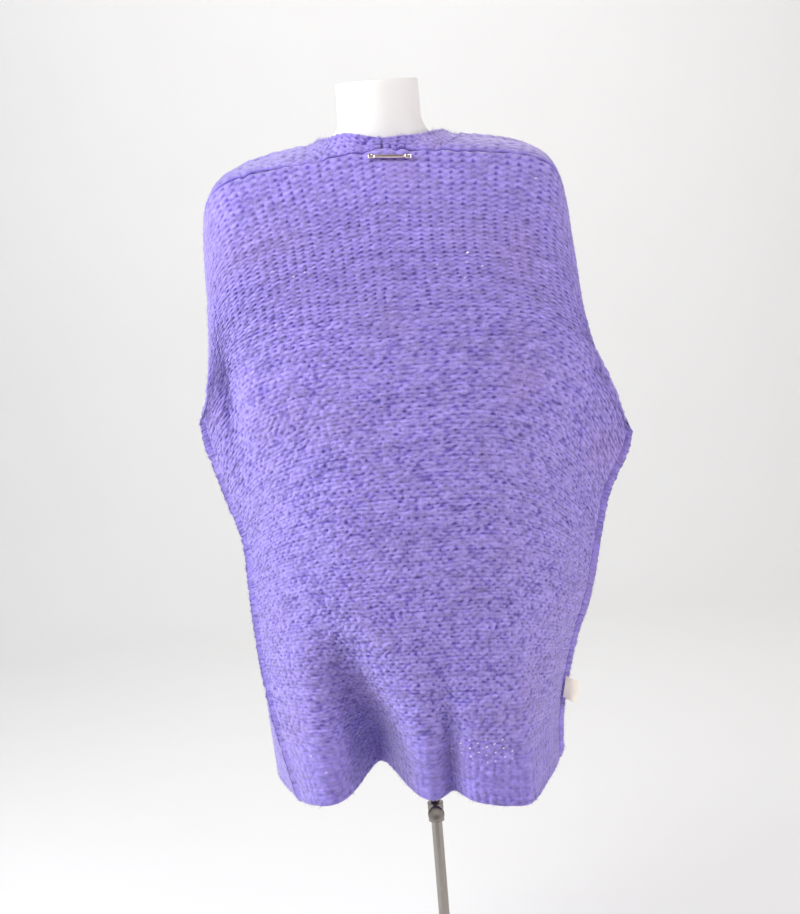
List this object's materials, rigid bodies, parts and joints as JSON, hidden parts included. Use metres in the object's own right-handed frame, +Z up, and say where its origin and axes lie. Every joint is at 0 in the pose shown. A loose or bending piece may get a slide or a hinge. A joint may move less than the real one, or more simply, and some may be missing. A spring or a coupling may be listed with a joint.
{
  "type": "oversized cardigan on a dress form",
  "caption": "Oversized open-front batwing cardigan in chunky knit, worn on a limbless dress form on a height-adjustable pole stand.",
  "frame": {"origin": "on the floor, on the axis of the pole, under the middle of the base disc", "axes": "+Z up along the pole, +X to the viewer's right when the garment's back is seen, +Y from the garment's back to its open front"},
  "size_m": [0.6062, 0.36, 1.5],
  "materials": {
    "knit_back": "brushed chunky wool-mix knit, purl side out, violet",
    "knit_front_left": "brushed chunky wool-mix knit, purl side out, violet",
    "knit_front_right": "brushed chunky wool-mix knit, purl side out, violet",
    "knit_band_left": "brushed chunky knit strip, violet",
    "knit_band_right": "brushed chunky knit strip, violet",
    "label_cloth": "thin woven ribbon, cream, blank",
    "bar_metal": "warm silver metal, bare",
    "form_white": "smooth white moulded shell",
    "rod_chrome": "polished",
    "tube_chrome": "polished",
    "collar_chrome": "polished",
    "knob_chrome": "polished",
    "base_chrome": "polished"
  },
  "bodies": {
    "stand": {"base": "base_chrome", "pole_tube": "tube_chrome", "clamp_collar": "collar_chrome"},
    "form": {"pole_rod": "rod_chrome", "dress_form": "form_white", "back": "knit_back", "front_left": "knit_front_left", "front_right": "knit_front_right", "band_left": "knit_band_left", "band_right": "knit_band_right", "care_label": "label_cloth", "neck_bar": "bar_metal"},
    "knob": {"clamp_knob": "knob_chrome"}
  },
  "joints": [
    {"name": "height_slide", "type": "slide", "parent": "stand", "child": "form", "axis": [0, 0, 1], "range_m": [-0.1, 0.2]},
    {"name": "clamp_turn", "type": "hinge", "parent": "stand", "child": "knob", "pos_m": [0, -0.02, 0.449], "axis": [0, -1, 0], "range_deg": [0, 360]}
  ]
}
